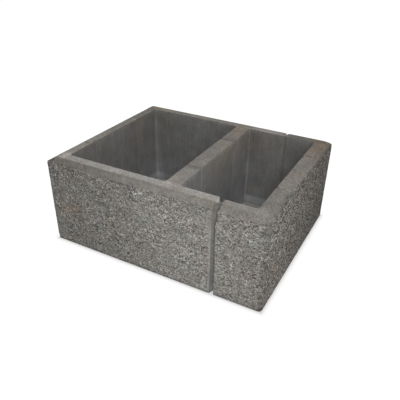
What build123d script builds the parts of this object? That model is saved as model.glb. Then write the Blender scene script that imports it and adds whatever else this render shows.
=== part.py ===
from build123d import *
import os

# Hollow concrete wall block, sizes in millimetres.
# X runs along the front face, Y from front to back, Z up.
# The origin is the middle of the underside, so the block rests on Z = 0.

# Outer block
length = 490.0
width = 390.0
height = 200.0
corner_radius = 8.0

# Bevel round the flat top
bevel_run = 15.0
bevel_drop = 8.5
crown_corner_radius = 2.0

# Cores and the web between them
wall = 34.0
web = 34.0
long_core = 232.0
core_radius = 6.0

# Splitting grooves down the front and back, on one plane across the short core
short_end = 102.0
groove_opening = 12.0
back_groove_depth = 24.0

# Notch inside the core that faces the front groove, and the concrete left between the two
notch_opening = 12.0
notch_depth = 13.0
front_neck = 4.0

# The short end has a thinner front wall than the rest
thin_front_wall = 30.0

# Shallow seams across the end walls and the web
seam_spacing = 152.0
seam_opening = 5.0
seam_depth = 1.2

# Cutters reach past the faces they cut by this much
overrun = 1.0

# Places that follow from the sizes above
shoulder_height = height - bevel_drop
front_y = -width / 2
left_x = -length / 2
right_x = length / 2
core_front_y = front_y + wall
core_back_y = -core_front_y
thin_front_y = front_y + thin_front_wall
long_core_left = left_x + wall
long_core_right = long_core_left + long_core
short_core_left = long_core_right + web
short_core_right = right_x - wall
split_x = right_x - short_end
front_groove_depth = wall - notch_depth - front_neck


def through(sketch):
    """Prism of a sketch that runs past the underside and the top."""
    return extrude(Pos(0, 0, -overrun) * sketch, height + 2 * overrun)


def wedge(mouth_x, mouth_y, opening, depth, inward):
    """Full-height V cutter: its mouth faces against inward (+1 or -1 in Y)."""
    slope = opening / 2 / depth
    flare = opening / 2 + slope * overrun
    outside_y = mouth_y - inward * overrun
    tip = (mouth_x, mouth_y + inward * depth)
    outline = Polyline((mouth_x - flare, outside_y), tip, (mouth_x + flare, outside_y), close=True)
    return through(make_face(outline))


def outer_block():
    """Upright sides, then the bevel up to the flat top."""
    plan = RectangleRounded(length, width, corner_radius)
    crown = RectangleRounded(length - 2 * bevel_run, width - 2 * bevel_run, crown_corner_radius)
    sides = extrude(plan, shoulder_height)
    cap = loft([Pos(0, 0, shoulder_height) * plan, Pos(0, 0, height) * crown], ruled=True)
    return sides + cap


def long_core_outline():
    """Rounded rectangle beside the long end."""
    width_x = long_core_right - long_core_left
    width_y = core_back_y - core_front_y
    middle = Pos((long_core_left + long_core_right) / 2, 0)
    return middle * RectangleRounded(width_x, width_y, core_radius)


def short_core_outline():
    """Its front face steps forward at the splitting plane, where the wall gets thinner."""
    sharp = Polygon(
        (short_core_left, core_front_y),
        (split_x, core_front_y),
        (split_x, thin_front_y),
        (short_core_right, thin_front_y),
        (short_core_right, core_back_y),
        (short_core_left, core_back_y),
        align=None,
    )
    along = sharp.vertices().sort_by(Axis.X)
    return fillet(along[:2] + along[-2:], core_radius)


def splitting_cuts():
    """Grooves outside at front and back, and the notch inside that faces the front one."""
    return [
        wedge(split_x, front_y, groove_opening, front_groove_depth, 1),
        wedge(split_x, -front_y, groove_opening, back_groove_depth, -1),
        wedge(split_x, core_front_y, notch_opening, notch_depth, -1),
    ]


def diamond(across):
    """Square on its corner, used for the shallow seams."""
    return Polygon((across, 0), (0, seam_depth), (-across, 0), (0, -seam_depth), align=None)


def seams():
    """Two seams over the top, and down each core face that they meet."""
    cutters = []
    half = seam_opening / 2
    for y in (-seam_spacing / 2, seam_spacing / 2):
        top_plane = Plane(origin=(left_x, y, height), x_dir=(0, 1, 0), z_dir=(1, 0, 0))
        cutters.append(extrude(top_plane * diamond(half), length))
        for x in (long_core_left, long_core_right, short_core_left, short_core_right):
            upright = Pos(x, y) * Rot(0, 0, 90) * diamond(half)
            cutters.append(through(upright))
    return cutters


def wall_block():
    """The whole block as one solid."""
    block = outer_block()
    cores = [through(long_core_outline()), through(short_core_outline())]
    for cutter in cores + splitting_cuts() + seams():
        block -= cutter
    block.label = "wall_block"
    return block


os.makedirs("parts", exist_ok=True)
export_step(wall_block(), "parts/wall_block.step")
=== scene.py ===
"""Hollow concrete wall block: its visual mesh and material, the floor, the light and the camera."""

import math

import bpy
import numpy as np
from mathutils import Matrix, Vector, geometry


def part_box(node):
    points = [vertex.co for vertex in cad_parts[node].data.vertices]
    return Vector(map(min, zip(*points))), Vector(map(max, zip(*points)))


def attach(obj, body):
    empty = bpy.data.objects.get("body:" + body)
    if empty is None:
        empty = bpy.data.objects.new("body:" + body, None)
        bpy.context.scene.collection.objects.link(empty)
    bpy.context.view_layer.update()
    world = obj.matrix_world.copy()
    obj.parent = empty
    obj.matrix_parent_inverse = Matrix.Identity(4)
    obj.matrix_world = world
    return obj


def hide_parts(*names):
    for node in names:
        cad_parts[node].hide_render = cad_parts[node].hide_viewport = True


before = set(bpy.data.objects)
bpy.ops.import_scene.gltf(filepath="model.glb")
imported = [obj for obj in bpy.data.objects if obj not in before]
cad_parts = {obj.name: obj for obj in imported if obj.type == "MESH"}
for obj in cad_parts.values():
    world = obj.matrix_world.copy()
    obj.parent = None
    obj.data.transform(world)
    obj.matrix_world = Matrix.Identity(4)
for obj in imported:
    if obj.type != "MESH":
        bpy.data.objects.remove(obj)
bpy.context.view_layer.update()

# Sizes of the block, in millimetres
MM = 0.001
LOW, HIGH = [np.array(v) * 1000 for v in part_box("wall_block")]
HALF_L, HALF_W, TOP = HIGH
BEVEL_RUN, BEVEL_DROP = 15.0, 8.5
SHOULDER = TOP - BEVEL_DROP
WALL, WEB = 34.0, 34.0
LONG_CORE = 232.0
CORE_R = 6.0
SPLIT_X = HALF_L - 102.0
THIN_FRONT = 30.0
SEAMS = (-78.0, 74.0)
SEAM_HALF, SEAM_DEEP = 2.5, 1.2
CROWN_R = 2.0
CORNER_R = {"fl": 1.4, "fr": 8.0, "br": 2.4, "bl": 7.0}
FOOT_R, ARRIS_R, CROWN_EDGE_R, RIM_R = 1.0, 1.8, 2.0, 1.6
SLIT_X, SLIT_HALF = SPLIT_X + 1.5, 1.9

# Notch in the short core: its reach left and right of the splitting plane, its depth, and its tip's lean
NOTCH_LEFT, NOTCH_RIGHT, NOTCH_DEEP, NOTCH_LEAN = 7.0, 4.5, 13.4, 1.0

# Splitting grooves: offset from the splitting plane and depth, worn round on the front's left side
FRONT_GROOVE = ((-9.5, 0.0), (-7.2, 0.2), (-6.2, 0.6), (-5.3, 1.8), (1.6, 17.0), (4.7, 0.8), (5.6, 0.0))
BACK_GROOVE = ((-10.0, 0.0), (-8.0, 1.0), (-6.0, 3.4), (0.0, 24.0), (5.6, 0.9), (6.5, 0.0))

# Sideways drift of the front groove's left and right edge, as pairs of height and shift
LEFT_DRIFT = ((0, -1.0), (90, 0.0), (150, 0.0), (174, 0.4), (188, 2.0), (200, 2.8))
RIGHT_DRIFT = (
    (0, -3.2), (70, -2.7), (95, -3.2), (118, -3.9),
    (140, -3.7), (157, -4.0), (174, -1.2), (190, 0.0),
)

# Spacing of the mesh
FACE_STEP, HIDDEN_STEP, CORE_STEP, CORE_RISE, TOP_STEP, UNDERSIDE_STEP = 2.35, 3.4, 5.0, 8.0, 3.0, 9.0
GROOVE_STEP, BACK_GROOVE_STEP = 1.3, 1.5

# Rows round the foot and the rims, round the turn to the bevel, up the bevel, and round its upper edge
EDGE_ROWS, TURN_ROWS, BEVEL_ROWS, CROWN_ROWS = 3, 4, 5, 3

# Beyond these places along a long and a short side, the columns follow the corners
HOLD_X, HOLD_Y = 200.0, 150.0

# Points of the mesh, in steps: least gap between regular and special ones, and how far free ones stray
APART, STRAY = 0.45, 0.25

# Least gap from a free point to an outline, and how close points count as one
LEAST_GAP, WELD = 1.1, 1e-5

LC_LEFT = -HALF_L + WALL
LC_RIGHT = LC_LEFT + LONG_CORE
SC_LEFT = LC_RIGHT + WEB
SC_RIGHT = HALF_L - WALL
CORE_Y = HALF_W - WALL
THIN_Y = -HALF_W + THIN_FRONT

# How near to an outer face or to a core wall a vertex counts as on it
ON_FACE, ON_WALL = 6.0, 3.0


# Seeded noise
LATTICE_SHIFT = 50.0
PRIMES = (73856093, 19349663, 83492791, 40503)
MIXER, ALL_BITS = 0x45D9F3B, 0xFFFFFFFF


def hashed(i, j, k, seed):
    """Random value, 0 to 1, for each point of a lattice."""
    h = (i * PRIMES[0]) ^ (j * PRIMES[1]) ^ (k * PRIMES[2]) ^ (seed * PRIMES[3])
    h &= ALL_BITS
    for _ in range(2):
        h = ((h ^ (h >> 16)) * MIXER) & ALL_BITS
    return (h ^ (h >> 16)) / ALL_BITS


def noise(p, size, seed):
    """Smooth value noise, 0 to 1, with features about size mm across."""
    q = p / size + LATTICE_SHIFT
    i = np.floor(q).astype(np.int64)
    f = q - i
    f = f * f * (3 - 2 * f)
    out = 0.0
    for a in (0, 1):
        for b in (0, 1):
            for c in (0, 1):
                w = (f[:, 0] if a else 1 - f[:, 0]) * (f[:, 1] if b else 1 - f[:, 1])
                w = w * (f[:, 2] if c else 1 - f[:, 2])
                out = out + w * hashed(i[:, 0] + a, i[:, 1] + b, i[:, 2] + c, seed)
    return out


def grains(p, size, seed):
    """Distance to the nearest scattered point over size, and that point's own random value."""
    q = p / size + LATTICE_SHIFT
    i = np.floor(q).astype(np.int64)
    best = np.full(len(p), np.inf)
    value = np.zeros(len(p))
    for a in (-1, 0, 1):
        for b in (-1, 0, 1):
            for c in (-1, 0, 1):
                n = i + np.array([a, b, c])
                at = np.stack([hashed(n[:, 0], n[:, 1], n[:, 2], seed + s) for s in (1, 2, 3)], 1)
                d = np.linalg.norm(n + at - q, axis=1)
                near = d < best
                best = np.where(near, d, best)
                value = np.where(near, hashed(n[:, 0], n[:, 1], n[:, 2], seed + 4), value)
    return best, value


def smooth(a, b, v):
    """Eased step, 0 where v is at a and 1 where it is at b."""
    t = np.clip((v - a) / (b - a), 0, 1)
    return t * t * (3 - 2 * t)


def spot(x, y, cx, cy, rx, ry):
    """Soft round patch, 1 in its middle."""
    return np.exp(-(((x - cx) / rx) ** 2 + ((y - cy) / ry) ** 2))


def band(v, middle, reach):
    """Soft band, 1 along its middle."""
    return np.exp(-(((v - middle) / reach) ** 2))


def between(pairs, v):
    """Value at v of a broken line through the pairs."""
    return float(np.interp(v, *zip(*pairs)))


# Plan outlines
def ticks(a, b, step, special=()):
    """Places from a to b about step apart that take in the special ones."""
    special = sorted(s for s in special if min(a, b) < s < max(a, b))
    n = max(1, int(round(abs(b - a) / step)))
    base = [a + (b - a) * t / n for t in range(n + 1)]
    keep = [v for v in base[1:-1] if all(abs(v - s) > step * APART for s in special)]
    out = sorted([a, b] + keep + list(special))
    return out if a < b else out[::-1]


def refined(profile, step):
    """Offsets of a groove's profile, with more between them where they lie far apart."""
    out = []
    for (a, _), (b, _) in zip(profile[:-1], profile[1:]):
        n = max(1, int(math.ceil((b - a) / step)))
        out += [a + (b - a) * k / n for k in range(n)]
    return out + [profile[-1][0]]


def outer_columns():
    """Columns round the outside: kind, place along the side or angle, and corner name."""
    r = CORNER_R
    columns = []

    def side(kind, a, b, step, special=()):
        columns.extend((kind, c, None) for c in ticks(a, b, step, special))

    def corner(name, start):
        n = max(3, int(round(r[name] * math.pi / 2 / FACE_STEP)))
        columns.extend(("corner", start + math.pi / 2 * k / n, name) for k in range(1, n))

    front = [SPLIT_X + t for t in refined(FRONT_GROOVE, GROOVE_STEP)]
    back = [SPLIT_X + t for t in refined(BACK_GROOVE, BACK_GROOVE_STEP)]
    side("front", -HALF_L + r["fl"], HALF_L - r["fr"], FACE_STEP, front)
    corner("fr", -math.pi / 2)
    side("right", -HALF_W + r["fr"], HALF_W - r["br"], FACE_STEP)
    corner("br", 0.0)
    side("back", HALF_L - r["br"], -HALF_L + r["bl"], HIDDEN_STEP, back)
    corner("bl", math.pi / 2)
    side("left", HALF_W - r["bl"], -HALF_W + r["fl"], HIDDEN_STEP)
    corner("fl", math.pi)
    return columns


def slid(c, start_low, start_high, now_low, now_high, hold):
    """A place along a side, drawn in near the corners as the outline shrinks."""
    if c > hold:
        return hold + (c - hold) * (now_high - hold) / (start_high - hold)
    if c < -hold:
        return -hold + (c + hold) * (now_low + hold) / (start_low + hold)
    return c


def lean(u, z):
    """Sideways drift of the front groove: narrower below the top and slanting a little towards the foot."""
    left, right = between(LEFT_DRIFT, z), between(RIGHT_DRIFT, z)
    share = min(max((u + 6) / 12, 0), 1)
    fade = float(smooth(-28, -12, u) * smooth(20, 7, u))
    return (left + (right - left) * share) * fade


def outer_point(column, d, z):
    """Plan place of a column on the outline drawn in by d."""
    kind, c, name = column
    t = min(d / BEVEL_RUN, 1.0)
    r = {k: v * (1 - t) + CROWN_R * t for k, v in CORNER_R.items()}
    r0 = CORNER_R
    x, y = HALF_L - d, HALF_W - d
    if kind == "front":
        c += lean(c - SPLIT_X, z)
        return slid(c, -HALF_L + r0["fl"], HALF_L - r0["fr"], -x + r["fl"], x - r["fr"], HOLD_X), -y
    if kind == "back":
        return slid(c, -HALF_L + r0["bl"], HALF_L - r0["br"], -x + r["bl"], x - r["br"], HOLD_X), y
    if kind == "right":
        return x, slid(c, -HALF_W + r0["fr"], HALF_W - r0["br"], -y + r["fr"], y - r["br"], HOLD_Y)
    if kind == "left":
        return -x, slid(c, -HALF_W + r0["fl"], HALF_W - r0["bl"], -y + r["fl"], y - r["bl"], HOLD_Y)
    sx = 1 if name in ("fr", "br") else -1
    sy = 1 if name in ("br", "bl") else -1
    rr = r[name]
    return sx * (x - rr) + rr * math.cos(c), sy * (y - rr) + rr * math.sin(c)


def groove_depth(column):
    """How far a column is set in by the groove it lies in."""
    kind, c, _ = column
    profiles = {"front": FRONT_GROOVE, "back": BACK_GROOVE}
    return between(profiles[kind], c - SPLIT_X) if kind in profiles else 0.0


def bend(p0, p1, p2, n):
    """Points 1 to n of a rounded corner from p0 past p1 to p2."""
    out = []
    for k in range(1, n + 1):
        t = k / n
        a, b, c = (1 - t) ** 2, 2 * t * (1 - t), t * t
        out.append((a * p0[0] + b * p1[0] + c * p2[0], a * p0[1] + b * p1[1] + c * p2[1]))
    return out


def run(p0, p1, n):
    """Points 1 to n of a straight run from p0 to p1."""
    return [(p0[0] + (p1[0] - p0[0]) * k / n, p0[1] + (p1[1] - p0[1]) * k / n) for k in range(1, n + 1)]


def outer_profile(g):
    """Inset and height of each row of a column whose face is set in by g."""
    slope = math.hypot(BEVEL_RUN, BEVEL_DROP)
    ux, uz = BEVEL_RUN / slope, BEVEL_DROP / slope
    n_wall = int(round((SHOULDER - ARRIS_R - FOOT_R) / FACE_STEP))
    rows = [(g + FOOT_R, 0.0)] + bend((g + FOOT_R, 0.0), (g, 0.0), (g, FOOT_R), EDGE_ROWS)
    room = (BEVEL_RUN - g) / ux
    if room < 1.0:
        # the groove is deeper than the bevel is wide, so its wall goes up to the flat top
        start, end = (g, TOP - 1.2), (g + 1.0, TOP)
        rows += run((g, FOOT_R), start, n_wall)
        return rows + bend(start, (g, TOP), end, TURN_ROWS + BEVEL_ROWS + CROWN_ROWS)
    z_turn = SHOULDER + BEVEL_DROP * g / BEVEL_RUN
    r_arris = min(ARRIS_R, 0.45 * room)
    r_crown = min(CROWN_EDGE_R, 0.45 * room)
    rows += run((g, FOOT_R), (g, z_turn - r_arris), n_wall)
    on_bevel = (g + r_arris * ux, z_turn + r_arris * uz)
    rows += bend(rows[-1], (g, z_turn), on_bevel, TURN_ROWS)
    end = (BEVEL_RUN - r_crown * ux, TOP - r_crown * uz)
    rows += run(on_bevel, end, BEVEL_ROWS)
    return rows + bend(end, (BEVEL_RUN, TOP), (BEVEL_RUN + CROWN_EDGE_R, TOP), CROWN_ROWS)


def arc(cx, cy, start, n=4):
    """Points within a core's rounded corner."""
    angles = [start + math.pi / 2 * k / n for k in range(1, n)]
    return [(cx + CORE_R * math.cos(t), cy + CORE_R * math.sin(t)) for t in angles]


def seam_lines():
    """Places across the seams where the mesh has rows of points."""
    return [s + t for s in SEAMS for t in (-SEAM_HALF, -1.2, 0, 1.2, SEAM_HALF)]


def core_outline(short):
    """Outline of a core, anticlockwise seen from above."""
    left, right = (SC_LEFT, SC_RIGHT) if short else (LC_LEFT, LC_RIGHT)
    r = CORE_R
    front = -CORE_Y
    front_right = THIN_Y if short else -CORE_Y
    pts = []
    if short:
        a, b = SPLIT_X - NOTCH_LEFT, SPLIT_X + NOTCH_RIGHT
        tip = (SPLIT_X + NOTCH_LEAN, front - NOTCH_DEEP)
        pts += [(x, front) for x in ticks(left + r, a, CORE_STEP)]
        pts += run((a, front), tip, 5)
        pts += run(tip, (b, front_right), 3)[:-1]
        pts += [(x, front_right) for x in ticks(b, right - r, CORE_STEP)]
    else:
        pts += [(x, front) for x in ticks(left + r, right - r, CORE_STEP)]
    pts += arc(right - r, front_right + r, -math.pi / 2)
    pts += [(right, y) for y in ticks(front_right + r, CORE_Y - r, CORE_STEP, seam_lines())]
    pts += arc(right - r, CORE_Y - r, 0)
    slit = [SLIT_X + t for t in (-3.0, -1.2, 0, 1.2, 3.0)] if short else []
    pts += [(x, CORE_Y) for x in ticks(right - r, left + r, CORE_STEP, slit)]
    pts += arc(left + r, CORE_Y - r, math.pi / 2)
    pts += [(left, y) for y in ticks(CORE_Y - r, front + r, CORE_STEP, seam_lines())]
    pts += arc(left + r, front + r, math.pi)
    return np.array(pts)


def into_wall(loop):
    """Unit normals of a core outline that point into the concrete."""
    before = loop - np.roll(loop, 1, axis=0)
    after = np.roll(loop, -1, axis=0) - loop
    t = before / np.linalg.norm(before, axis=1, keepdims=True)
    t = t + after / np.linalg.norm(after, axis=1, keepdims=True)
    t /= np.linalg.norm(t, axis=1, keepdims=True)
    return np.stack([t[:, 1], -t[:, 0]], 1)


def inside(points, loop):
    """Whether each point lies in a closed outline."""
    a, b = loop, np.roll(loop, -1, axis=0)
    px, py = points[:, :1], points[:, 1:2]
    at = (b[:, 0] - a[:, 0]) * (py - a[:, 1]) / (b[:, 1] - a[:, 1] + 1e-12) + a[:, 0]
    cross = ((a[:, 1] > py) != (b[:, 1] > py)) & (px < at)
    return cross.sum(1) % 2 == 1


def in_concrete(points, loops):
    """Whether each point lies in the first outline and in none of the others."""
    keep = inside(points, loops[0])
    for loop in loops[1:]:
        keep &= ~inside(points, loop)
    return keep


def gap_to(points, loop):
    """Distance from each point to a closed outline."""
    a, b = loop, np.roll(loop, -1, axis=0)
    d = b - a
    out = np.empty(len(points))
    chunk = 400
    for k in range(0, len(points), chunk):
        p = points[k:k + chunk, None, :]
        t = np.clip(((p - a) * d).sum(2) / (d * d).sum(1), 0, 1)
        out[k:k + chunk] = np.linalg.norm(p - (a + t[..., None] * d), axis=2).min(1)
    return out


# The mesh
class Builder:
    """Collects the points and faces of the mesh."""

    def __init__(self):
        self.points, self.faces, self.count = [], [], 0

    def add(self, pts):
        """Adds points and gives their numbers."""
        first = self.count
        self.points.append(np.asarray(pts, float))
        self.count += len(pts)
        return np.arange(first, self.count)

    def strip(self, rows):
        """Quads between successive closed rows of as many points each."""
        for low, high in zip(rows[:-1], rows[1:]):
            self.faces += np.stack([low, np.roll(low, -1), np.roll(high, -1), high], 1).tolist()

    def cap(self, outer, holes, step, z, up, rng, lines=()):
        """Flat cap between an outer row and the holes' rows, with scattered points between."""
        known = np.concatenate(self.points)
        rows = [outer] + holes
        loops = [known[r][:, :2] for r in rows]
        gx, gy = np.meshgrid(np.arange(-HALF_L, HALF_L, step), np.arange(-HALF_W, HALF_W, step))
        free = np.stack([gx.ravel(), gy.ravel()], 1)
        free += rng.uniform(-STRAY, STRAY, free.shape) * step
        along = np.arange(-HALF_L, HALF_L, TOP_STEP)
        for y in lines:
            free = free[np.abs(free[:, 1] - y) > step * APART]
        free = np.concatenate([free] + [np.stack([along, np.full(len(along), y)], 1) for y in lines])
        free = free[in_concrete(free, loops)]
        for loop in loops:
            free = free[gap_to(free, loop) > LEAST_GAP]
        new = self.add(np.column_stack([free, np.full(len(free), z)]))
        index = np.concatenate(rows + [new])
        flat = np.concatenate(loops + [free])
        edges, at = [], 0
        for r in rows:
            n = len(r)
            edges += [(at + k, at + (k + 1) % n) for k in range(n)]
            at += n
        _, _, tris, origin, _, _ = geometry.delaunay_2d_cdt([Vector(p) for p in flat], edges, [], 0, WELD)
        source = np.array([o[0] if o else -1 for o in origin])
        tris = source[np.array([t for t in tris if len(t) == 3])]
        tris = tris[(tris >= 0).all(1)]
        tris = tris[in_concrete(flat[tris].mean(1), loops)]
        u = flat[tris[:, 1]] - flat[tris[:, 0]]
        v = flat[tris[:, 2]] - flat[tris[:, 0]]
        turn = u[:, 0] * v[:, 1] - u[:, 1] * v[:, 0]
        wrong = (turn < 0) if up else (turn > 0)
        tris[wrong] = tris[wrong][:, ::-1]
        self.faces += index[tris].tolist()


def build_mesh():
    """The outside, the two cores, then the flat top and the underside between them."""
    rng = np.random.default_rng(7)
    b = Builder()
    columns = outer_columns()
    profiles = [outer_profile(groove_depth(c)) for c in columns]
    rows = []
    for k in range(len(profiles[0])):
        pts = [(*outer_point(c, *p[k]), p[k][1]) for c, p in zip(columns, profiles)]
        rows.append(b.add(pts))
    b.strip(rows)
    tops, feet = [], []
    n_core = int(round((TOP - 2 * RIM_R) / CORE_RISE))
    for short in (False, True):
        loop = core_outline(short)
        out = into_wall(loop)
        profile = [(RIM_R, TOP)] + bend((RIM_R, TOP), (0, TOP), (0, TOP - RIM_R), EDGE_ROWS)
        profile += run((0, TOP - RIM_R), (0, RIM_R), n_core)
        profile += bend((0, RIM_R), (0, 0), (RIM_R, 0), EDGE_ROWS)
        core_rows = [b.add(np.column_stack([loop + out * e, np.full(len(loop), z)])) for e, z in profile]
        b.strip(core_rows)
        tops.append(core_rows[0])
        feet.append(core_rows[-1])
    b.cap(rows[-1], tops, TOP_STEP, TOP, True, rng, seam_lines())
    b.cap(rows[0], feet, UNDERSIDE_STEP, 0.0, False, rng)
    mesh = bpy.data.meshes.new("block")
    mesh.from_pydata((np.concatenate(b.points) * MM).tolist(), [], b.faces)
    mesh.validate()
    mesh.update()
    return mesh


# Relief, wear and tones
def seam_places(x):
    """Where the two seams run: a little differently over each wall."""
    west, east = x < LC_LEFT - 4, x > SC_RIGHT + 4
    near = np.where(west, -95.0, np.where(east, -80.0, SEAMS[0]))
    far = np.where(west, 67.0, np.where(east, 83.0, SEAMS[1]))
    return near, far


class Surface:
    """Where each vertex is, and which part of the block it lies on."""

    def __init__(self, p, nor):
        x, y, z = p.T
        self.p, self.nor = p, nor
        self.x, self.y, self.z = x, y, z
        self.u = x - SPLIT_X
        self.inset = np.minimum(HALF_L - np.abs(x), HALF_W - np.abs(y))
        # 0 on upright faces and 1 on level ones
        level = np.abs(nor[:, 2])
        self.core = (self.inset > THIN_FRONT - 4) & (level < 0.6)
        cut = (np.abs(self.u) < 8) & (self.inset > 1.6) & (self.inset < 26)
        self.groove = cut & (level < 0.35) & (z < TOP - 0.5) & ~self.core
        self.top = (z > TOP - 1.5) & ~self.core
        # outer faces
        self.skin = self.inset < ON_FACE
        face = self.skin & (z < SHOULDER + 2) & ~self.groove
        self.front = face & (y < -HALF_W + ON_FACE)
        self.right = face & (x > HALF_L - ON_FACE) & ~self.front
        rim = z > TOP - 14
        self.rim = rim & ~self.core
        self.low_front = (y < -HALF_W + ON_FACE) & ~rim
        self.low_right = (x > HALF_L - ON_FACE) & ~rim
        # core walls
        self.back_wall = self.core & (y > CORE_Y - ON_WALL)
        self.left_wall = self.core & (x < LC_LEFT + ON_WALL)
        self.web_side = self.core & (np.abs(x - SC_LEFT) < ON_WALL)
        self.far_core = self.core & (y > 100)
        self.high_core = self.core & (y > CORE_Y - 20) & (z > 120)


# Single patches: the part they lie on, its two axes, their middle and reach, and how much lighter they are
SPOTS = (
    ("front", "xz", (95, 172), (50, 20), -0.06),
    ("top", "xy", (38, -140), (24, 30), 0.16),
    ("top", "xy", (-218, 72), (10, 8), 0.46),
    ("left_wall", "yz", (55, 194), (12, 6), -0.32),
    ("back_wall", "xz", (8, 193), (14, 6), -0.20),
    ("far_core", "xz", (178, 175), (28, 26), -0.20),
)

# Rust-brown patches in the same form, with their strength last
RUST = (
    ("rim", "xy", (226, 148), (22, 62), 1.0),
    ("rim", "xy", (38, 128), (24, 40), 0.6),
    ("rim", "xy", (-224, -170), (22, 20), 0.3),
    ("rim", "xy", (-212, 176), (44, 30), 0.6),
    ("low_right", "yz", (-52, 74), (20, 15), 0.7),
    ("web_side", "yz", (35, 172), (70, 22), 0.55),
    ("left_wall", "yz", (96, 193), (13, 8), 1.5),
    ("left_wall", "yz", (85, 160), (16, 30), 0.3),
    ("back_wall", "xz", (8, 192), (14, 7), 0.8),
    ("high_core", "xz", (-190, 170), (26, 26), 0.3),
    ("high_core", "xz", (66, 165), (26, 30), 0.3),
)


def patch(s, part, axes, middle, reach):
    """Soft patch on one part of the surface."""
    a, b = (getattr(s, axis) for axis in axes)
    return getattr(s, part) * spot(a, b, *middle, *reach)


def only(where, factor):
    """The factor in the given places, and 1 elsewhere."""
    return np.where(where, factor, 1.0)


def worn_zones(s):
    """Masks, 0 to 1, of the rough grain, the groove's left margin, the seams and the slit."""
    x, y, z, u, inset = s.x, s.y, s.z, s.u, s.inset
    up = s.nor[:, 2]
    # rough exposed grain on the outer faces, and over the bevel on the short end
    ragged = 5.0 * (noise(s.p, 26, 11) - 0.5) + 3.0 * (noise(s.p, 9, 12) - 0.5)
    west = smooth(-120, -215, x)
    faces = smooth(-1.5, 1.5, SHOULDER - 0.6 - z + (0.35 + 0.4 * west) * ragged)
    reach = 3.0 + 5.0 * band(y, -72, 62)
    end = smooth(-4, 4, reach - (HALF_L - x) + 1.5 * ragged) * smooth(-HALF_W + 6, -HALF_W + 30, y) * (x > 0)
    end *= 0.5 + 0.5 * smooth(TOP - 1, TOP - 7, z)
    rough = np.maximum(faces, end)
    chipped = smooth(2, -2, x + HALF_L + 0.8 * (y + HALF_W) - 21 - ragged) * (z < TOP - 0.5)
    rough = np.maximum(rough, chipped)
    margin = smooth(-12.6, -10.2, u + 0.2 * ragged) * (u < 0) * (y < 0) * (inset < 8) * smooth(172, 155, z)
    rough = np.where(s.groove | s.core | (up < -0.9), 0.0, rough * (1 - 0.7 * margin))
    # seams and slit
    on_ends = s.core & (np.abs(s.nor[:, 0]) > 0.7)
    on_top = (up > 0.7) & (inset > BEVEL_RUN)
    near, far = seam_places(x)
    off = np.minimum(np.abs(y - near), np.abs(y - far))
    seam = np.clip(1.2 - off / (SEAM_HALF + 0.6), 0, 1) * (on_ends | on_top)
    slit = s.far_core & (np.abs(x - SLIT_X) < SLIT_HALF)
    return rough, margin, seam, slit


def face_tones(s):
    """The faces are lighter towards the groove and darker towards the back, with painted shade at the
    corner, under the bevel and at the foot.
    """
    x, y, z = s.x, s.y, s.z
    west = smooth(70, -190, x)
    tone = only(s.front, 1.19 - 0.31 * west - 0.08 * smooth(0, 8, s.u))
    tone *= only(s.front, 1.0 - 0.09 * west * smooth(60, 150, z) + 0.03 * west)
    tone *= only(s.right, 0.98 - 0.40 * np.clip((y + 150) / 300, 0, 1))
    tone *= only(s.right, 1.0 - 0.16 * smooth(150, 20, z))
    # painted shade: the rounded front-right corner is darkened
    corner = (s.front | s.right) * smooth(14, 2, HALF_L - x) * smooth(14, 2, y + HALF_W)
    tone *= 1 - 0.30 * corner
    tone *= 1 - 0.10 * s.front * smooth(52, 24, HALF_L - x) * smooth(178, 130, z)
    tone *= 1 - 0.08 * s.front * smooth(154, 176, z) * smooth(-20, 60, x)
    # painted shadow: a dark line under the bevel's edge on the left part of the front face
    line = band(z, 190, 2.6) * (y < -HALF_W + ON_FACE) * smooth(-140, -90, x)
    tone *= 1 - 0.16 * line * (0.5 + noise(s.p, 14, 83))
    # painted shade: the outer faces darken towards the foot, where they meet the floor
    return tone * (1 - 0.22 * smooth(9, 0, z) * s.skin)


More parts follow.
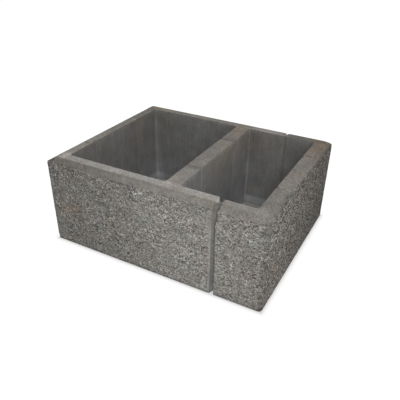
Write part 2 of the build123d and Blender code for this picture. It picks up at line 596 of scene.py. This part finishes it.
def rim_tones(s):
    """The flat top, with a pale strip along the front, and the bevel."""
    x, y, z, u = s.x, s.y, s.z, s.u
    from_front = y + HALF_W
    strip = smooth(BEVEL_RUN - 2.0, BEVEL_RUN + 2.5, from_front) * smooth(WALL + 10, WALL - 1, from_front)
    strip *= smooth(-HALF_L + 12, -HALF_L + 26, x) * (1 - 0.82 * smooth(-2, 3, u))
    strip *= (z > TOP - 3) & ~s.core
    tone = 1 + 0.60 * strip * (0.85 + 0.30 * noise(s.p, 45, 81)) * (1 - 0.30 * band(x, 52, 24))
    tone *= 1 + 0.10 * s.top * spot(x, y, -HALF_L + 26, -HALF_W + 34, 20, 16) * (1 - 0.6 * strip)
    # painted highlight: a pale line along the inner edge of the thin front wall's top, where its rounded
    # edge catches the light
    painted_lip_highlight = smooth(3.2, 0.8, np.abs(y - THIN_Y)) * (u > 4) * (x < SC_RIGHT - 6) * (z > TOP - 1.5)
    tone *= 1 + 0.50 * painted_lip_highlight
    # the bevel is darker than the top, with grime on the left part of the front one
    bevel = (s.inset > 1) & (s.inset < BEVEL_RUN - 1) & (z > SHOULDER) & ~s.groove
    on_front = bevel & (y < -HALF_W + BEVEL_RUN)
    on_right = bevel & (x > HALF_L - BEVEL_RUN) & ~on_front
    tone *= only(on_front, 0.70 + 0.22 * smooth(-150, -10, x) - 0.09 * smooth(0, 8, u))
    grime = smooth(0.52, 0.80, noise(s.p, 19, 84)) * smooth(-205, -160, x) * smooth(60, -40, x)
    tone *= only(on_front, 1 - 0.24 * grime)
    tone *= only(on_right, 0.92 - 0.16 * smooth(50, 110, y))
    tone *= only(bevel & ~on_front & ~on_right, 0.84)
    # the short end's rim is duller near the front, and the other walls' tops vary along them
    dull = smooth(-50, -115, y) * smooth(SC_RIGHT - 2, SC_RIGHT + 5, x) * smooth(12, 40, from_front)
    tone *= 1 - 0.15 * dull * ((z > SHOULDER) & ~s.core)
    tone *= only(s.top & (y > CORE_Y), 1.08 + 0.34 * band(x, 100, 42) - 0.34 * smooth(2, 6, u))
    tone *= only(s.top & (x < LC_LEFT), 1.20 - 0.26 * smooth(-90, 115, y))
    tone *= 1 - 0.09 * s.top * smooth(90, 150, y) * smooth(190, 215, x)
    return tone * only(s.top, 0.94 + 0.12 * noise(s.p, 30, 82))


def seam_tones(s, seam, slit):
    """Dark seams over the tops of the walls, with steps in tone beside those on the web."""
    x, y = s.x, s.y
    near, far = (y - place for place in seam_places(x))
    wide = 0.5 * smooth(7, 3, np.abs(near)) + 0.5 * smooth(0, 2, far) * smooth(26, 6, far)
    tone = 1 - 0.10 * wide * s.top
    web = s.top & (x > LC_RIGHT - 2) & (x < SC_LEFT + 2)
    tone *= 1 + 0.15 * web * smooth(-30, -6, far) * smooth(3, -3, far)
    tone *= 1 - 0.11 * web * smooth(-3, 3, far) * smooth(28, 12, far)
    tone *= 1 - 0.10 * web * smooth(-16, -8, near) * smooth(1, -2, near)
    # fainter on the web and on one side of each end wall
    seam = seam * (1 - 0.35 * web) * (1 - 0.6 * ((x > SC_RIGHT) & (y < 0)))
    seam *= 1 - 0.8 * ((x < LC_LEFT) & (y > 0))
    tone *= 1 - 0.46 * seam * ~s.core + 0.08 * seam * s.core
    tone *= 1 + 0.30 * seam * (s.web_side & (y < 0)) * smooth(140, 165, s.z)
    return tone * (1 - 0.20 * slit)


def core_tones(s):
    """The core walls, with painted shade in their soft corners, painted light low on the walls, and a pale
    foot.
    """
    x, y, z = s.x, s.y, s.z
    to_end = np.min([np.abs(x - c) for c in (LC_LEFT, LC_RIGHT, SC_LEFT, SC_RIGHT)], axis=0)
    # painted shade in the cores' upright corners, less where light reaches them
    painted_corner_shade = smooth(13, 3, to_end) * smooth(13, 3, np.abs(np.abs(y) - CORE_Y))
    lit = (y > 0) & ((x < LC_LEFT + 20) | (np.abs(x - SC_LEFT) < 20))
    tone = 1 - (0.20 - 0.18 * lit) * painted_corner_shade * s.core
    pale_foot = 1 - (x < LC_RIGHT) * (0.22 + 0.40 * smooth(-205, -178, x) * (y > 0))
    # the foot of the core walls is paler; above it, up to about 80 mm, the walls are lightened: painted
    # light against the shade deep in the cores
    tone *= 1 + s.core * (0.90 * pale_foot * smooth(25, 16, z) + 0.16 * smooth(80, 30, z))
    tone *= 1 + 0.20 * s.core * (y > CORE_Y - 7) * band(x, LC_LEFT + 8, 7)
    tone *= only(s.far_core, 1.05 - 0.18 * smooth(80, 180, z))
    tone *= 1 + 0.11 * s.left_wall * smooth(70, 105, y) * smooth(199, 190, z)
    # the web's side towards the short core, painted lighter: painted light from the right, more than the
    # lamps give it
    tone *= only(s.web_side, 1.30)
    tone *= 1 - 0.17 * s.web_side * smooth(185, 194, z) * band(y, -45, 55)
    tone *= 1 + 0.09 * s.web_side * smooth(75, 110, y) * smooth(196, 188, z)
    # painted shade: the short core's back corner by the web is darkened further
    return tone * only(s.core & (np.abs(x - SC_LEFT) < 12) & (y > CORE_Y - 6), 0.92)


def groove_tones(s, margin):
    """The front groove's cut face: painted light lifts it further in, and painted shade darkens it where it
    runs out through the rim.
    """
    z, u = s.z, s.u
    # painted light: the cut face is lightened the deeper it lies, against the shade inside the groove
    painted_groove_light = 0.095 * np.clip(s.inset - 2, 0, 12) * (1 - 0.55 * smooth(176, 197, z))
    tone = only(s.groove, 1.05 + painted_groove_light - 0.10 * smooth(172, 186, z))
    tone *= 1 + 0.10 * margin * ~s.groove
    # painted shade: the groove's left shoulder is darkened where it runs out through the bevel and rim
    valley = np.where(s.inset < 15.5, smooth(-10.5, -4, u), 0.7 * smooth(-4, 0, u)) * smooth(8, 5, u)
    return tone * (1 - 0.27 * valley * ((s.y < -CORE_Y) & (z > SHOULDER + 1) & ~s.core))


def tone_map(s, margin, seam, slit):
    """How light the concrete is in each place, as a factor, painted light and shade included."""
    tone = face_tones(s) * rim_tones(s) * seam_tones(s, seam, slit) * core_tones(s) * groove_tones(s, margin)
    for *where, gain in SPOTS:
        tone *= 1 + gain * patch(s, *where)
    return tone


def grit_map(s):
    """How much the grain stands out: on the faces, and as sand on the smooth parts."""
    right = smooth(-HALF_W + 3, -HALF_W + 18, s.y) * (s.x > HALF_L - 8)
    clusters = smooth(0.30, 0.80, 0.6 * noise(s.p, 30, 91) + 0.4 * noise(s.p, 12, 92))
    grit = (0.36 - 0.05 * smooth(-40, 140, s.x) + 0.66 * right) * (0.62 + 0.85 * clusters)
    sandy = 0.20 + 0.08 * smooth(SC_RIGHT - 4, SC_RIGHT + 6, s.x) * smooth(60, -10, s.y)
    return np.where((s.z > SHOULDER - 2) & ~s.core, sandy, grit)


def warm_map(s):
    """Rust-brown tones that show on the rim and in a few places on the faces and in the cores."""
    warm = sum(strength * patch(s, *where) for *where, strength in RUST)
    warm += 0.9 * s.low_front * spot(s.x, s.z - 0.25 * s.x, -197, 139, 30, 8)
    warm += 0.35 * s.web_side * smooth(182, 195, s.z) * smooth(-90, -60, s.y)
    return warm + 0.30 * s.low_right * smooth(8, 24, s.y + HALF_W)


def wear_depth(s):
    """How far the edges and corners are worn and chipped away."""
    x, y, z, p = s.x, s.y, s.z, s.p
    # upright corners, then the arris under the bevel, both more worn at the front right
    to_corner = [np.clip(14 - (half - np.abs(v)), 0, 14) for half, v in ((HALF_L, x), (HALF_W, y))]
    chips = noise(p, 16, 61) ** 2 * 1.6 + noise(p, 5, 62) * 0.6
    share = 1 - 0.6 * ((x < 0) | (y > 0))
    depth = smooth(14.2, 18.5, np.hypot(*to_corner)) * chips * share * ~s.core
    arris = smooth(5, 0, np.abs(z - SHOULDER)) * (s.inset < 8) * ~s.groove
    depth += arris * (noise(p, 12, 63) ** 2 * 1.8 + 0.5 * noise(p, 4, 64)) * share
    # the foot, and its two front corners
    foot = smooth(5, 0, z) * s.skin
    depth += foot * (noise(p, 14, 65) ** 2 * 0.9 + 0.25 * noise(p, 5, 66))
    depth += 3.5 * spot(x, z, HALF_L, 0, 10, 9) * (y < -HALF_W + 14)
    depth += 2.4 * spot(x, z, -HALF_L, 0, 8, 6) * (y < -HALF_W + 14)
    # the cores' rims, and the back right corner near the top
    rim = smooth(4, 0, TOP - z) * s.core
    depth += rim * (noise(p, 11, 67) ** 3 * 2.2 + 0.4 * noise(p, 4, 68))
    return depth + 0.6 * spot(x, y, HALF_L, HALF_W, 10, 10) * smooth(170, 200, z)


def vectors(items, name):
    """A vector of each item, as rows."""
    out = np.zeros(len(items) * 3)
    items.foreach_get(name, out)
    return out.reshape(-1, 3)


def relief(mesh):
    """Moves the vertices in for grain, wear and chips, and stores the masks that the material reads."""
    p = vectors(mesh.vertices, "co") * 1000
    nor = vectors(mesh.vertex_normals, "vector")
    s = Surface(p, nor)
    rough, margin, seam, slit = worn_zones(s)
    # depth of the grain
    d1, v1 = grains(p, 7.0, 21)
    d2, v2 = grains(p, 4.0, 31)
    broad = noise(p, 70, 41) * 0.5 + noise(p, 24, 42) * 0.5
    grain = 0.26 * np.clip(d1, 0, 1) * (0.4 + 0.9 * v1) + 0.46 * np.clip(d2, 0, 1) * v2
    depth = rough * (0.24 * broad + grain)
    depth += (1 - rough) * (0.22 * noise(p, 30, 51) + 0.12 * noise(p, 6, 52))
    depth += wear_depth(s)
    # the part left of the splitting plane lies a little lower and sinks towards the groove
    left = (s.u < -1) & (s.y < -CORE_Y) & s.skin & (s.z < SHOULDER + 3)
    depth += 0.5 * left * smooth(-240, -200, s.x)
    valley = (s.y < -CORE_Y + 2) & (s.z > SHOULDER + 2) & ~s.core
    depth += 2.2 * valley * smooth(-11, 1, s.u) * smooth(8, 4, s.u)
    depth += seam * SEAM_DEEP * np.where(s.core, 0.5, 0.8) + 0.8 * slit
    push = -nor * depth[:, None]
    push[nor[:, 2] < -0.9] = 0
    moved = np.clip(p + push, LOW, HIGH)
    mesh.vertices.foreach_set("co", (moved * MM).ravel())
    layers = {
        "rough": rough,
        "core": s.core,
        "groove": np.maximum(s.groove, 0.7 * margin),
        "tone": tone_map(s, margin, seam, slit) / 2,
        "warm": warm_map(s),
        "grit": grit_map(s),
    }
    for name, value in layers.items():
        layer = mesh.attributes.new(name, "FLOAT", "POINT")
        layer.data.foreach_set("value", np.clip(value, 0, 1).astype(np.float32))
    mesh.update()


mesh = build_mesh()
relief(mesh)
mesh.shade_smooth()
block = bpy.data.objects.new("concrete_block", mesh)
bpy.context.scene.collection.objects.link(block)


# The material
class Graph:
    """Short ways to add and join shader nodes."""

    def __init__(self, owner):
        owner.use_nodes = True
        self.tree = owner.node_tree
        self.tree.nodes.clear()

    def node(self, kind, **settings):
        """A new node with these settings."""
        n = self.tree.nodes.new(kind)
        for key, value in settings.items():
            setattr(n, key, value)
        return n

    def link(self, a, b):
        self.tree.links.new(a, b)

    def feed(self, socket, value):
        """Joins a socket to another one, or sets its value."""
        if isinstance(value, bpy.types.NodeSocket):
            self.link(value, socket)
        else:
            socket.default_value = value

    def math(self, op, a, b=0.0, c=0.0, clamp=False):
        n = self.node("ShaderNodeMath", operation=op, use_clamp=clamp)
        for k, v in enumerate((a, b, c)):
            self.feed(n.inputs[k], v)
        return n.outputs[0]

    def vary(self, base, value, gain):
        """base plus gain times how far value lies from the middle, 0.5."""
        return self.math("MULTIPLY_ADD", self.math("SUBTRACT", value, 0.5), gain, base)

    def mix(self, f, a, b, mode="MIX"):
        n = self.node("ShaderNodeMix", data_type="RGBA", blend_type=mode, clamp_factor=True)
        self.feed(n.inputs[0], f)
        self.feed(n.inputs[6], a)
        self.feed(n.inputs[7], b)
        return n.outputs[2]

    def tinted(self, colour, hue):
        """The colour times a hue."""
        return self.mix(1.0, colour, (*hue, 1.0), "MULTIPLY")

    def scaled(self, vector, scale):
        n = self.node("ShaderNodeVectorMath", operation="MULTIPLY")
        self.link(vector, n.inputs[0])
        n.inputs[1].default_value = scale
        return n.outputs[0]

    def noise(self, vector, size, detail=3.0, rough=0.55):
        """Noise with features about size across."""
        n = self.node("ShaderNodeTexNoise")
        self.link(vector, n.inputs["Vector"])
        n.inputs["Scale"].default_value = 1.0 / size
        n.inputs["Detail"].default_value = detail
        n.inputs["Roughness"].default_value = rough
        return n.outputs["Fac"]

    def cells(self, vector, size):
        """Distance to the nearest cell centre and the cell's random value."""
        n = self.node("ShaderNodeTexVoronoi")
        self.link(vector, n.inputs["Vector"])
        n.inputs["Scale"].default_value = 1.0 / size
        s = self.node("ShaderNodeSeparateColor")
        self.link(n.outputs["Color"], s.inputs[0])
        return n.outputs["Distance"], s.outputs[0]

    def tint_ramp(self, f, stops):
        """Colours by place."""
        n = self.node("ShaderNodeValToRGB")
        self.feed(n.inputs[0], f)
        elements = n.color_ramp.elements
        while len(elements) < len(stops):
            elements.new(0.5)
        for element, (at, colour) in zip(elements, stops):
            element.position = at
            element.color = (*colour, 1.0)
        return n.outputs[0]

    def ramp(self, f, levels, low_hue, high_hue=None):
        """Grey levels by place, their hue going from the low one to the high one."""
        stops = []
        for at, level in levels:
            hue = [a + (b - a) * at for a, b in zip(low_hue, high_hue or low_hue)]
            stops.append((at, [level * h for h in hue]))
        return self.tint_ramp(f, stops)

    def mask(self, name):
        """A value stored on the mesh's vertices."""
        return self.node("ShaderNodeAttribute", attribute_name=name).outputs["Fac"]


# Hues of the parts, and grey levels by place on their ramps
FACE_HUE = (1.10, 1.0, 0.88)
SPECK_HUE = (1.01, 1.0, 0.96)
TOP_HUE = (1.07, 1.0, 0.91)
CORE_HUE = (1.03, 1.0, 0.96)
GROOVE_HUE = (1.035, 1.0, 0.94)
FACE_LEVELS = ((0.04, 0.034), (0.24, 0.094), (0.50, 0.164), (0.74, 0.228), (0.97, 0.42))
TOP_LEVELS = ((0.0, 0.092), (0.5, 0.180), (1.0, 0.285))
CORE_LEVELS = ((0.0, 0.088), (0.5, 0.150), (1.0, 0.220))
GROOVE_LEVELS = ((0.0, 0.088), (1.0, 0.215))
# near-black of the pits: painted shade in small holes
PIT_SHADE_COLOUR = (0.028, 0.026, 0.023, 1.0)

# Tints: cool deep in the cores, cool on pale concrete, and rust
COOL, PALE, RUSTY = (0.98, 1.0, 1.03), (0.975, 1.0, 1.045), (1.10, 0.93, 0.76)

# Faint green, plain, ochre and violet, by place on the ramp
CAST_HUES = (
    (0.30, (0.97, 1.02, 0.99)),
    (0.46, (1.0, 1.0, 1.0)),
    (0.58, (1.02, 1.0, 0.96)),
    (0.72, (1.02, 0.98, 1.02)),
)


class Textures:
    """Noises and masks that several parts of the material share, with sizes in millimetres."""

    def __init__(self, g):
        self.where = g.scaled(g.node("ShaderNodeTexCoord").outputs["Object"], (1000, 1000, 1000))
        flat = g.scaled(self.where, (1.15, 0.72, 1.05))
        self.stone_gap, self.stone = g.cells(flat, 4.4)
        self.chip_gap, self.chip = g.cells(flat, 2.3)
        self.mottle = g.noise(g.scaled(self.where, (0.55, 0.55, 1.35)), 13, 3, 0.6)
        self.fine = g.noise(self.where, 1.4, 2)
        self.soft = g.noise(self.where, 24, 4, 0.6)
        self.drawn = g.noise(self.where, 3.4, 3)
        self.streaks = g.noise(g.scaled(self.where, (1.0, 1.0, 0.06)), 4.0, 3, 0.6)
        self.grit = g.mask("grit")


def face_colour(g, t):
    """Exposed grain: pale and dark bits, pits painted dark as shade between them, and broad clouds."""
    layers = g.noise(g.scaled(t.where, (0.36, 0.36, 1.5)), 7, 2, 0.5)
    broad = g.noise(t.where, 95, 2)
    tone = g.vary(0.5, t.stone, 0.22)
    tone = g.vary(tone, t.chip, 0.80)
    tone = g.vary(tone, t.fine, 0.60)
    tone = g.vary(0.5, tone, g.math("MULTIPLY_ADD", t.grit, 1.5, 0.4))
    tone = g.vary(tone, t.mottle, 0.42)
    tone = g.vary(tone, layers, 0.36)
    tone = g.vary(tone, broad, 0.26)
    face = g.ramp(tone, FACE_LEVELS, FACE_HUE, SPECK_HUE)
    # painted shade: small holes in the grain are painted near-black
    hole, chance = g.cells(g.scaled(t.where, (0.8, 0.8, 1.15)), 4.8)
    often = g.math("MULTIPLY_ADD", t.grit, -0.75, 0.92)
    hole = g.math("MULTIPLY", g.math("LESS_THAN", hole, 0.32), g.math("GREATER_THAN", chance, often))
    return g.mix(g.math("MULTIPLY", hole, 0.72), face, PIT_SHADE_COLOUR)


def wall_colour(g, t):
    """Core walls with faint upright streaks, cooler deep down and on the long core's back wall."""
    tone = g.vary(0.5, t.streaks, 0.60)
    tone = g.vary(tone, g.noise(t.where, 34, 3), 0.75)
    tone = g.vary(tone, t.drawn, 0.75)
    wall = g.ramp(tone, CORE_LEVELS, CORE_HUE)
    place = g.node("ShaderNodeSeparateXYZ")
    g.link(t.where, place.inputs[0])
    deep = g.math("MULTIPLY_ADD", place.outputs[2], -0.009, 1.5, clamp=True)
    rear = g.math("GREATER_THAN", place.outputs[1], CORE_Y - ON_WALL)
    rear = g.math("MULTIPLY", rear, g.math("LESS_THAN", place.outputs[0], LC_RIGHT))
    cool = g.math("MULTIPLY", g.math("ADD", deep, rear), 0.5)
    return g.mix(cool, wall, g.tinted(g.tinted(wall, COOL), COOL))


def toned(g, t, colour):
    """The colour made lighter or darker by place, in places as painted light and shade, with cool,
    rust-brown and other faint tints.
    """
    bright = g.math("MULTIPLY", g.mask("tone"), 2.0)
    shade = g.node("ShaderNodeVectorMath", operation="SCALE")
    g.link(colour, shade.inputs[0])
    g.link(bright, shade.inputs["Scale"])
    colour = shade.outputs[0]
    pale = g.math("MULTIPLY", g.math("SUBTRACT", bright, 1.15), 2.5, clamp=True)
    colour = g.mix(pale, colour, g.tinted(colour, PALE))
    rust = g.math("MULTIPLY", g.mask("warm"), g.math("MULTIPLY_ADD", t.soft, 1.1, 0.35), clamp=True)
    colour = g.mix(rust, colour, g.tinted(colour, RUSTY))
    cast = g.tint_ramp(g.noise(t.where, 42, 3), CAST_HUES)
    return g.mix(1.0, colour, cast, "MULTIPLY")


def fine_height(g, t, rough):
    """Stones and chips on the rough parts, small pits and streaks on the smooth ones."""
    height = g.math("MULTIPLY", g.math("SUBTRACT", 1.0, t.chip_gap), 0.75)
    height = g.math("MULTIPLY_ADD", g.math("SUBTRACT", 1.0, t.stone_gap), 0.25, height)
    height = g.math("MULTIPLY_ADD", t.fine, 0.45, height)
    height = g.math("MULTIPLY", height, rough)
    pits = g.math("LESS_THAN", g.cells(t.where, 6.5)[0], 0.13)
    level = g.math("MULTIPLY_ADD", t.drawn, 0.30, g.math("MULTIPLY", t.fine, 0.10))
    level = g.math("MULTIPLY_ADD", pits, -0.35, level)
    level = g.math("MULTIPLY", level, g.math("SUBTRACT", 1.0, rough))
    height = g.math("ADD", height, level)
    return g.math("MULTIPLY_ADD", g.math("MULTIPLY", t.streaks, g.mask("core")), 0.15, height)


def concrete():
    """Rough grain on the faces, a smooth cast rim, streaked core walls and the groove's cut face."""
    material = bpy.data.materials.new("concrete")
    g = Graph(material)
    t = Textures(g)
    rim_tone = g.vary(0.5, t.soft, 0.70)
    rim_tone = g.vary(rim_tone, t.drawn, 0.95)
    rim_tone = g.vary(rim_tone, t.chip, g.math("MULTIPLY", t.grit, 1.5))
    rim = g.ramp(rim_tone, TOP_LEVELS, TOP_HUE)
    cut = g.ramp(g.vary(rim_tone, t.streaks, 1.1), GROOVE_LEVELS, GROOVE_HUE)
    # the grain ends in a ragged edge against the rim
    ragged = g.vary(g.mask("rough"), t.mottle, 0.9)
    rough = g.math("MULTIPLY", g.math("SUBTRACT", ragged, 0.3), 2.6, clamp=True)
    colour = g.mix(rough, rim, face_colour(g, t))
    colour = g.mix(g.mask("core"), colour, wall_colour(g, t))
    colour = g.mix(g.mask("groove"), colour, cut)
    bump = g.node("ShaderNodeBump")
    bump.inputs["Strength"].default_value = 0.9
    bump.inputs["Distance"].default_value = 0.0012
    g.link(fine_height(g, t, rough), bump.inputs["Height"])
    shader = g.node("ShaderNodeBsdfPrincipled")
    g.link(toned(g, t, colour), shader.inputs["Base Color"])
    g.link(bump.outputs[0], shader.inputs["Normal"])
    g.link(g.math("MULTIPLY_ADD", rough, 0.10, 0.84), shader.inputs["Roughness"])
    shader.inputs["Specular IOR Level"].default_value = 0.3
    out = g.node("ShaderNodeOutputMaterial")
    g.link(shader.outputs[0], out.inputs["Surface"])
    return material


block.data.materials.append(concrete())
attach(block, "root")
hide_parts("wall_block")


# Floor, world and lights, in metres
FLOOR_REACH, FLOOR_DROP = 6.0, 0.0003
EARTH_EDGE = 0.025
SHADOW_REACH, SHADOW_DARK, PAPER_GLOW = 0.0048, 0.40, 0.94
WHITE = (1.0, 1.0, 1.0, 1.0)
PAPER_LIT = (0.86, 0.86, 0.86, 1.0)
PAPER_SEEN = (0.14, 0.14, 0.14, 1.0)
EARTH = (0.36, 0.35, 0.33, 1.0)
SKY_LIGHT = 0.6
LAMP_TARGET = (0.0, 0.0, 0.1)

# Camera: place in metres, angles in degrees, focal length over picture width, sensor width in millimetres
CAMERA_PLACE = (0.442416, -0.814603, 0.61653)
AZIMUTH, ELEVATION, ROLL = -27.934, 30.498, 1.017
FOCAL_SHARE = 1.173
SENSOR = 36.0


def floor_material():
    """White to the camera but for the contact shadow, and grey earth in the cores."""
    material = bpy.data.materials.new("floor")
    g = Graph(material)
    path = g.node("ShaderNodeLightPath")
    seen = g.math("MAXIMUM", path.outputs["Is Camera Ray"], path.outputs["Is Glossy Ray"])
    seen = g.math("MAXIMUM", seen, path.outputs["Is Transmission Ray"])
    place = g.node("ShaderNodeSeparateXYZ")
    g.link(g.node("ShaderNodeTexCoord").outputs["Object"], place.inputs[0])
    # how far outside the block's two pairs of sides
    past = []
    for k, half in enumerate((HALF_L, HALF_W)):
        past.append(g.math("SUBTRACT", g.math("ABSOLUTE", place.outputs[k]), half * MM))
    under = g.math("MULTIPLY", *(g.math("LESS_THAN", v, -EARTH_EDGE) for v in past))
    plain = g.node("ShaderNodeBsdfDiffuse")
    paper = g.mix(seen, PAPER_LIT, PAPER_SEEN)
    g.link(g.mix(under, paper, EARTH), plain.inputs[0])
    # darker in a narrow band round the foot
    away_x, away_y = (g.math("MAXIMUM", v, 0.0) for v in past)
    away = g.math("SQRT", g.math("MULTIPLY_ADD", away_x, away_x, g.math("MULTIPLY", away_y, away_y)))
    contact = g.math("EXPONENT", g.math("MULTIPLY", away, -1 / SHADOW_REACH))
    level = g.math("MULTIPLY_ADD", contact, -SHADOW_DARK, PAPER_GLOW)
    level = g.math("MULTIPLY", level, g.math("SUBTRACT", 1.0, under))
    white = g.node("ShaderNodeEmission")
    white.inputs[0].default_value = WHITE
    g.link(g.math("MULTIPLY", seen, level), white.inputs[1])
    both = g.node("ShaderNodeAddShader")
    g.link(plain.outputs[0], both.inputs[0])
    g.link(white.outputs[0], both.inputs[1])
    out = g.node("ShaderNodeOutputMaterial")
    g.link(both.outputs[0], out.inputs["Surface"])
    return material


def add_floor():
    """Wide pale floor just under the block."""
    r = FLOOR_REACH
    mesh = bpy.data.meshes.new("floor")
    mesh.from_pydata([(-r, -r, 0), (r, -r, 0), (r, r, 0), (-r, r, 0)], [], [(0, 1, 2, 3)])
    floor = bpy.data.objects.new("floor", mesh)
    floor.location = (0, 0, -FLOOR_DROP)
    floor.data.materials.append(floor_material())
    bpy.context.scene.collection.objects.link(floor)


def add_world():
    """White behind the block, and soft light from all round."""
    world = bpy.data.worlds.new("studio")
    bpy.context.scene.world = world
    g = Graph(world)
    path = g.node("ShaderNodeLightPath")
    seen = g.math("MAXIMUM", path.outputs["Is Camera Ray"], path.outputs["Is Transmission Ray"])
    mixer = g.node("ShaderNodeMixShader")
    g.link(seen, mixer.inputs[0])
    for k, strength in ((1, SKY_LIGHT), (2, 1.0)):
        light = g.node("ShaderNodeBackground")
        light.inputs[0].default_value = WHITE
        light.inputs[1].default_value = strength
        g.link(light.outputs[0], mixer.inputs[k])
    out = g.node("ShaderNodeOutputWorld")
    g.link(mixer.outputs[0], out.inputs["Surface"])


def add_lamp(name, place, size, power):
    """Round lamp that points at the block."""
    data = bpy.data.lights.new(name, "AREA")
    data.shape = "DISK"
    data.size = size
    data.energy = power
    lamp = bpy.data.objects.new(name, data)
    lamp.location = place
    way = Vector(LAMP_TARGET) - Vector(place)
    lamp.rotation_euler = way.to_track_quat("-Z", "Y").to_euler()
    bpy.context.scene.collection.objects.link(lamp)


def add_camera():
    """Looks down at the front face and the short end."""
    azimuth, elevation, roll = (math.radians(v) for v in (AZIMUTH, ELEVATION, ROLL))
    flat = math.cos(elevation)
    ahead = Vector((math.sin(azimuth) * flat, math.cos(azimuth) * flat, -math.sin(elevation)))
    right = Vector((math.cos(azimuth), -math.sin(azimuth), 0))
    up = right.cross(ahead)
    side = math.cos(roll) * right + math.sin(roll) * up
    top = -math.sin(roll) * right + math.cos(roll) * up
    data = bpy.data.cameras.new("camera")
    data.sensor_width = SENSOR
    data.lens = SENSOR * FOCAL_SHARE
    camera = bpy.data.objects.new("camera", data)
    turn = Matrix((side, top, -ahead)).transposed().to_4x4()
    camera.matrix_world = Matrix.Translation(CAMERA_PLACE) @ turn
    bpy.context.scene.collection.objects.link(camera)
    bpy.context.scene.camera = camera


add_floor()
add_world()
add_lamp("key", (0.5, -0.9, 0.9), 0.5, 6.5)
add_lamp("side", (0.9, -0.9, 1.0), 0.6, 3.8)
add_camera()
bpy.context.scene.view_settings.view_transform = "Standard"
